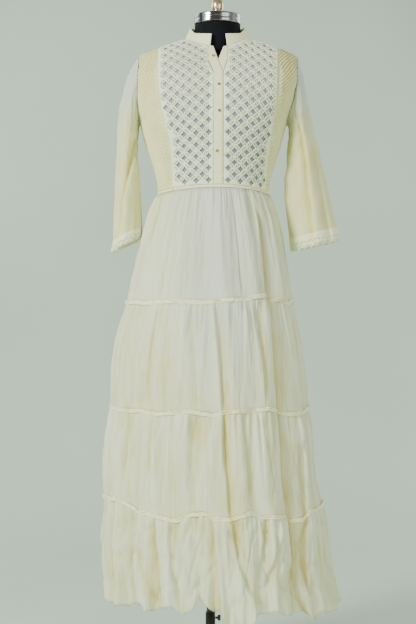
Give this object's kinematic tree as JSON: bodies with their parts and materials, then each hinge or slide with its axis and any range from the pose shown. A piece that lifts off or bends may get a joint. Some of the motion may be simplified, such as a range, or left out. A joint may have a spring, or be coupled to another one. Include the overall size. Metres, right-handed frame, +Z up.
{
  "type": "anarkali gown on a dress form",
  "caption": "Floor-length tiered anarkali gown with lattice lace front, buttoned placket, stand collar and three-quarter sleeves, on a limbless dress form with pole and round base",
  "frame": {"origin": "on the floor, at the middle of the stand base's underside, under the pole", "axes": "+Z up, the gown's front faces -Y, +X is the viewer's right as seen from the front"},
  "size_m": [0.5908, 0.4942, 1.668],
  "materials": {
    "cream_cotton": "cream cotton with fine pin tucks",
    "white_lace": "white corded cutwork lace",
    "lining_voile": "sheer voile, grey where the black form shows through it",
    "sheer_cotton": "sheer cream cotton voile",
    "embroidered_band": "white scalloped embroidered edging",
    "button_brown": "polished olive brown",
    "form_black": "smooth black jersey cover",
    "polished_chrome": "polished",
    "polished_brass": "polished",
    "black_enamel": "black enamel"
  },
  "bodies": {
    "root": {"back_bodice": "cream_cotton", "side_front_left": "cream_cotton", "side_front_right": "cream_cotton", "placket_under": "cream_cotton", "placket_over": "cream_cotton", "collar": "cream_cotton", "waist_band": "cream_cotton", "lace_panel_left": "white_lace", "lace_panel_right": "white_lace", "lining_left": "lining_voile", "lining_right": "lining_voile", "skirt_tier_1": "sheer_cotton", "skirt_tier_2": "sheer_cotton", "skirt_tier_3": "sheer_cotton", "skirt_tier_4": "sheer_cotton", "sleeve_left": "sheer_cotton", "sleeve_right": "sheer_cotton", "cuff_left": "embroidered_band", "cuff_right": "embroidered_band", "button_1": "button_brown", "button_2": "button_brown", "button_3": "button_brown", "button_4": "button_brown", "dress_form": "form_black", "neck_cap": "polished_chrome", "finial": "polished_brass", "stand_pole": "black_enamel", "stand_tube": "black_enamel", "stand_base": "black_enamel", "clamp_screw": "black_enamel"}
  },
  "joints": []
}
